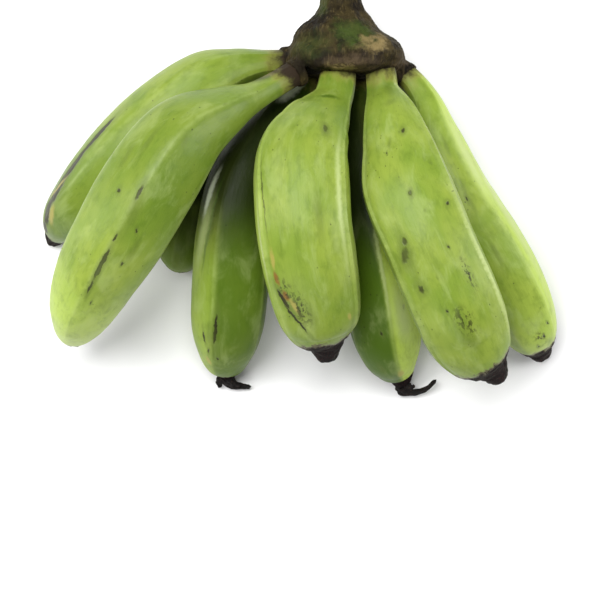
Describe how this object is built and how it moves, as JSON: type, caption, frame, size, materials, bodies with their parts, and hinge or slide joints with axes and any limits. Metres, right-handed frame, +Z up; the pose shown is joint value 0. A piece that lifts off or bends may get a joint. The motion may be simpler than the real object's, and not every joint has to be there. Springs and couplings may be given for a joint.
{
  "type": "plantain hand",
  "caption": "Hand of green, angular cooking plantains in two rows on a woody crown with a cut stub, laid down with its outer side up.",
  "frame": {"origin": "on the table under the middle of the hand, at the centre of its bounding box's base", "axes": "+X across the hand, to the right as seen from above with the crown away from the viewer; +Y towards the crown's cut end; +Z up from the table"},
  "size_m": [0.2492, 0.1987, 0.1004],
  "materials": {
    "green_peel": "unripe green peel, waxy and satin, with paler ridges, a few dark scars and a black blossom end",
    "brown_crown": "matt, weathered brown-black fibre with green and tan patches",
    "dry_flower": "matt, shrivelled and black"
  },
  "bodies": {
    "root": {"crown": "brown_crown", "lower_finger_1": "green_peel", "lower_finger_2": "green_peel", "lower_finger_3": "green_peel", "lower_finger_4": "green_peel", "lower_finger_5": "green_peel", "upper_finger_1": "green_peel", "upper_finger_2": "green_peel", "upper_finger_3": "green_peel", "dried_flower_3": "dry_flower", "dried_flower_4": "dry_flower"}
  },
  "joints": []
}
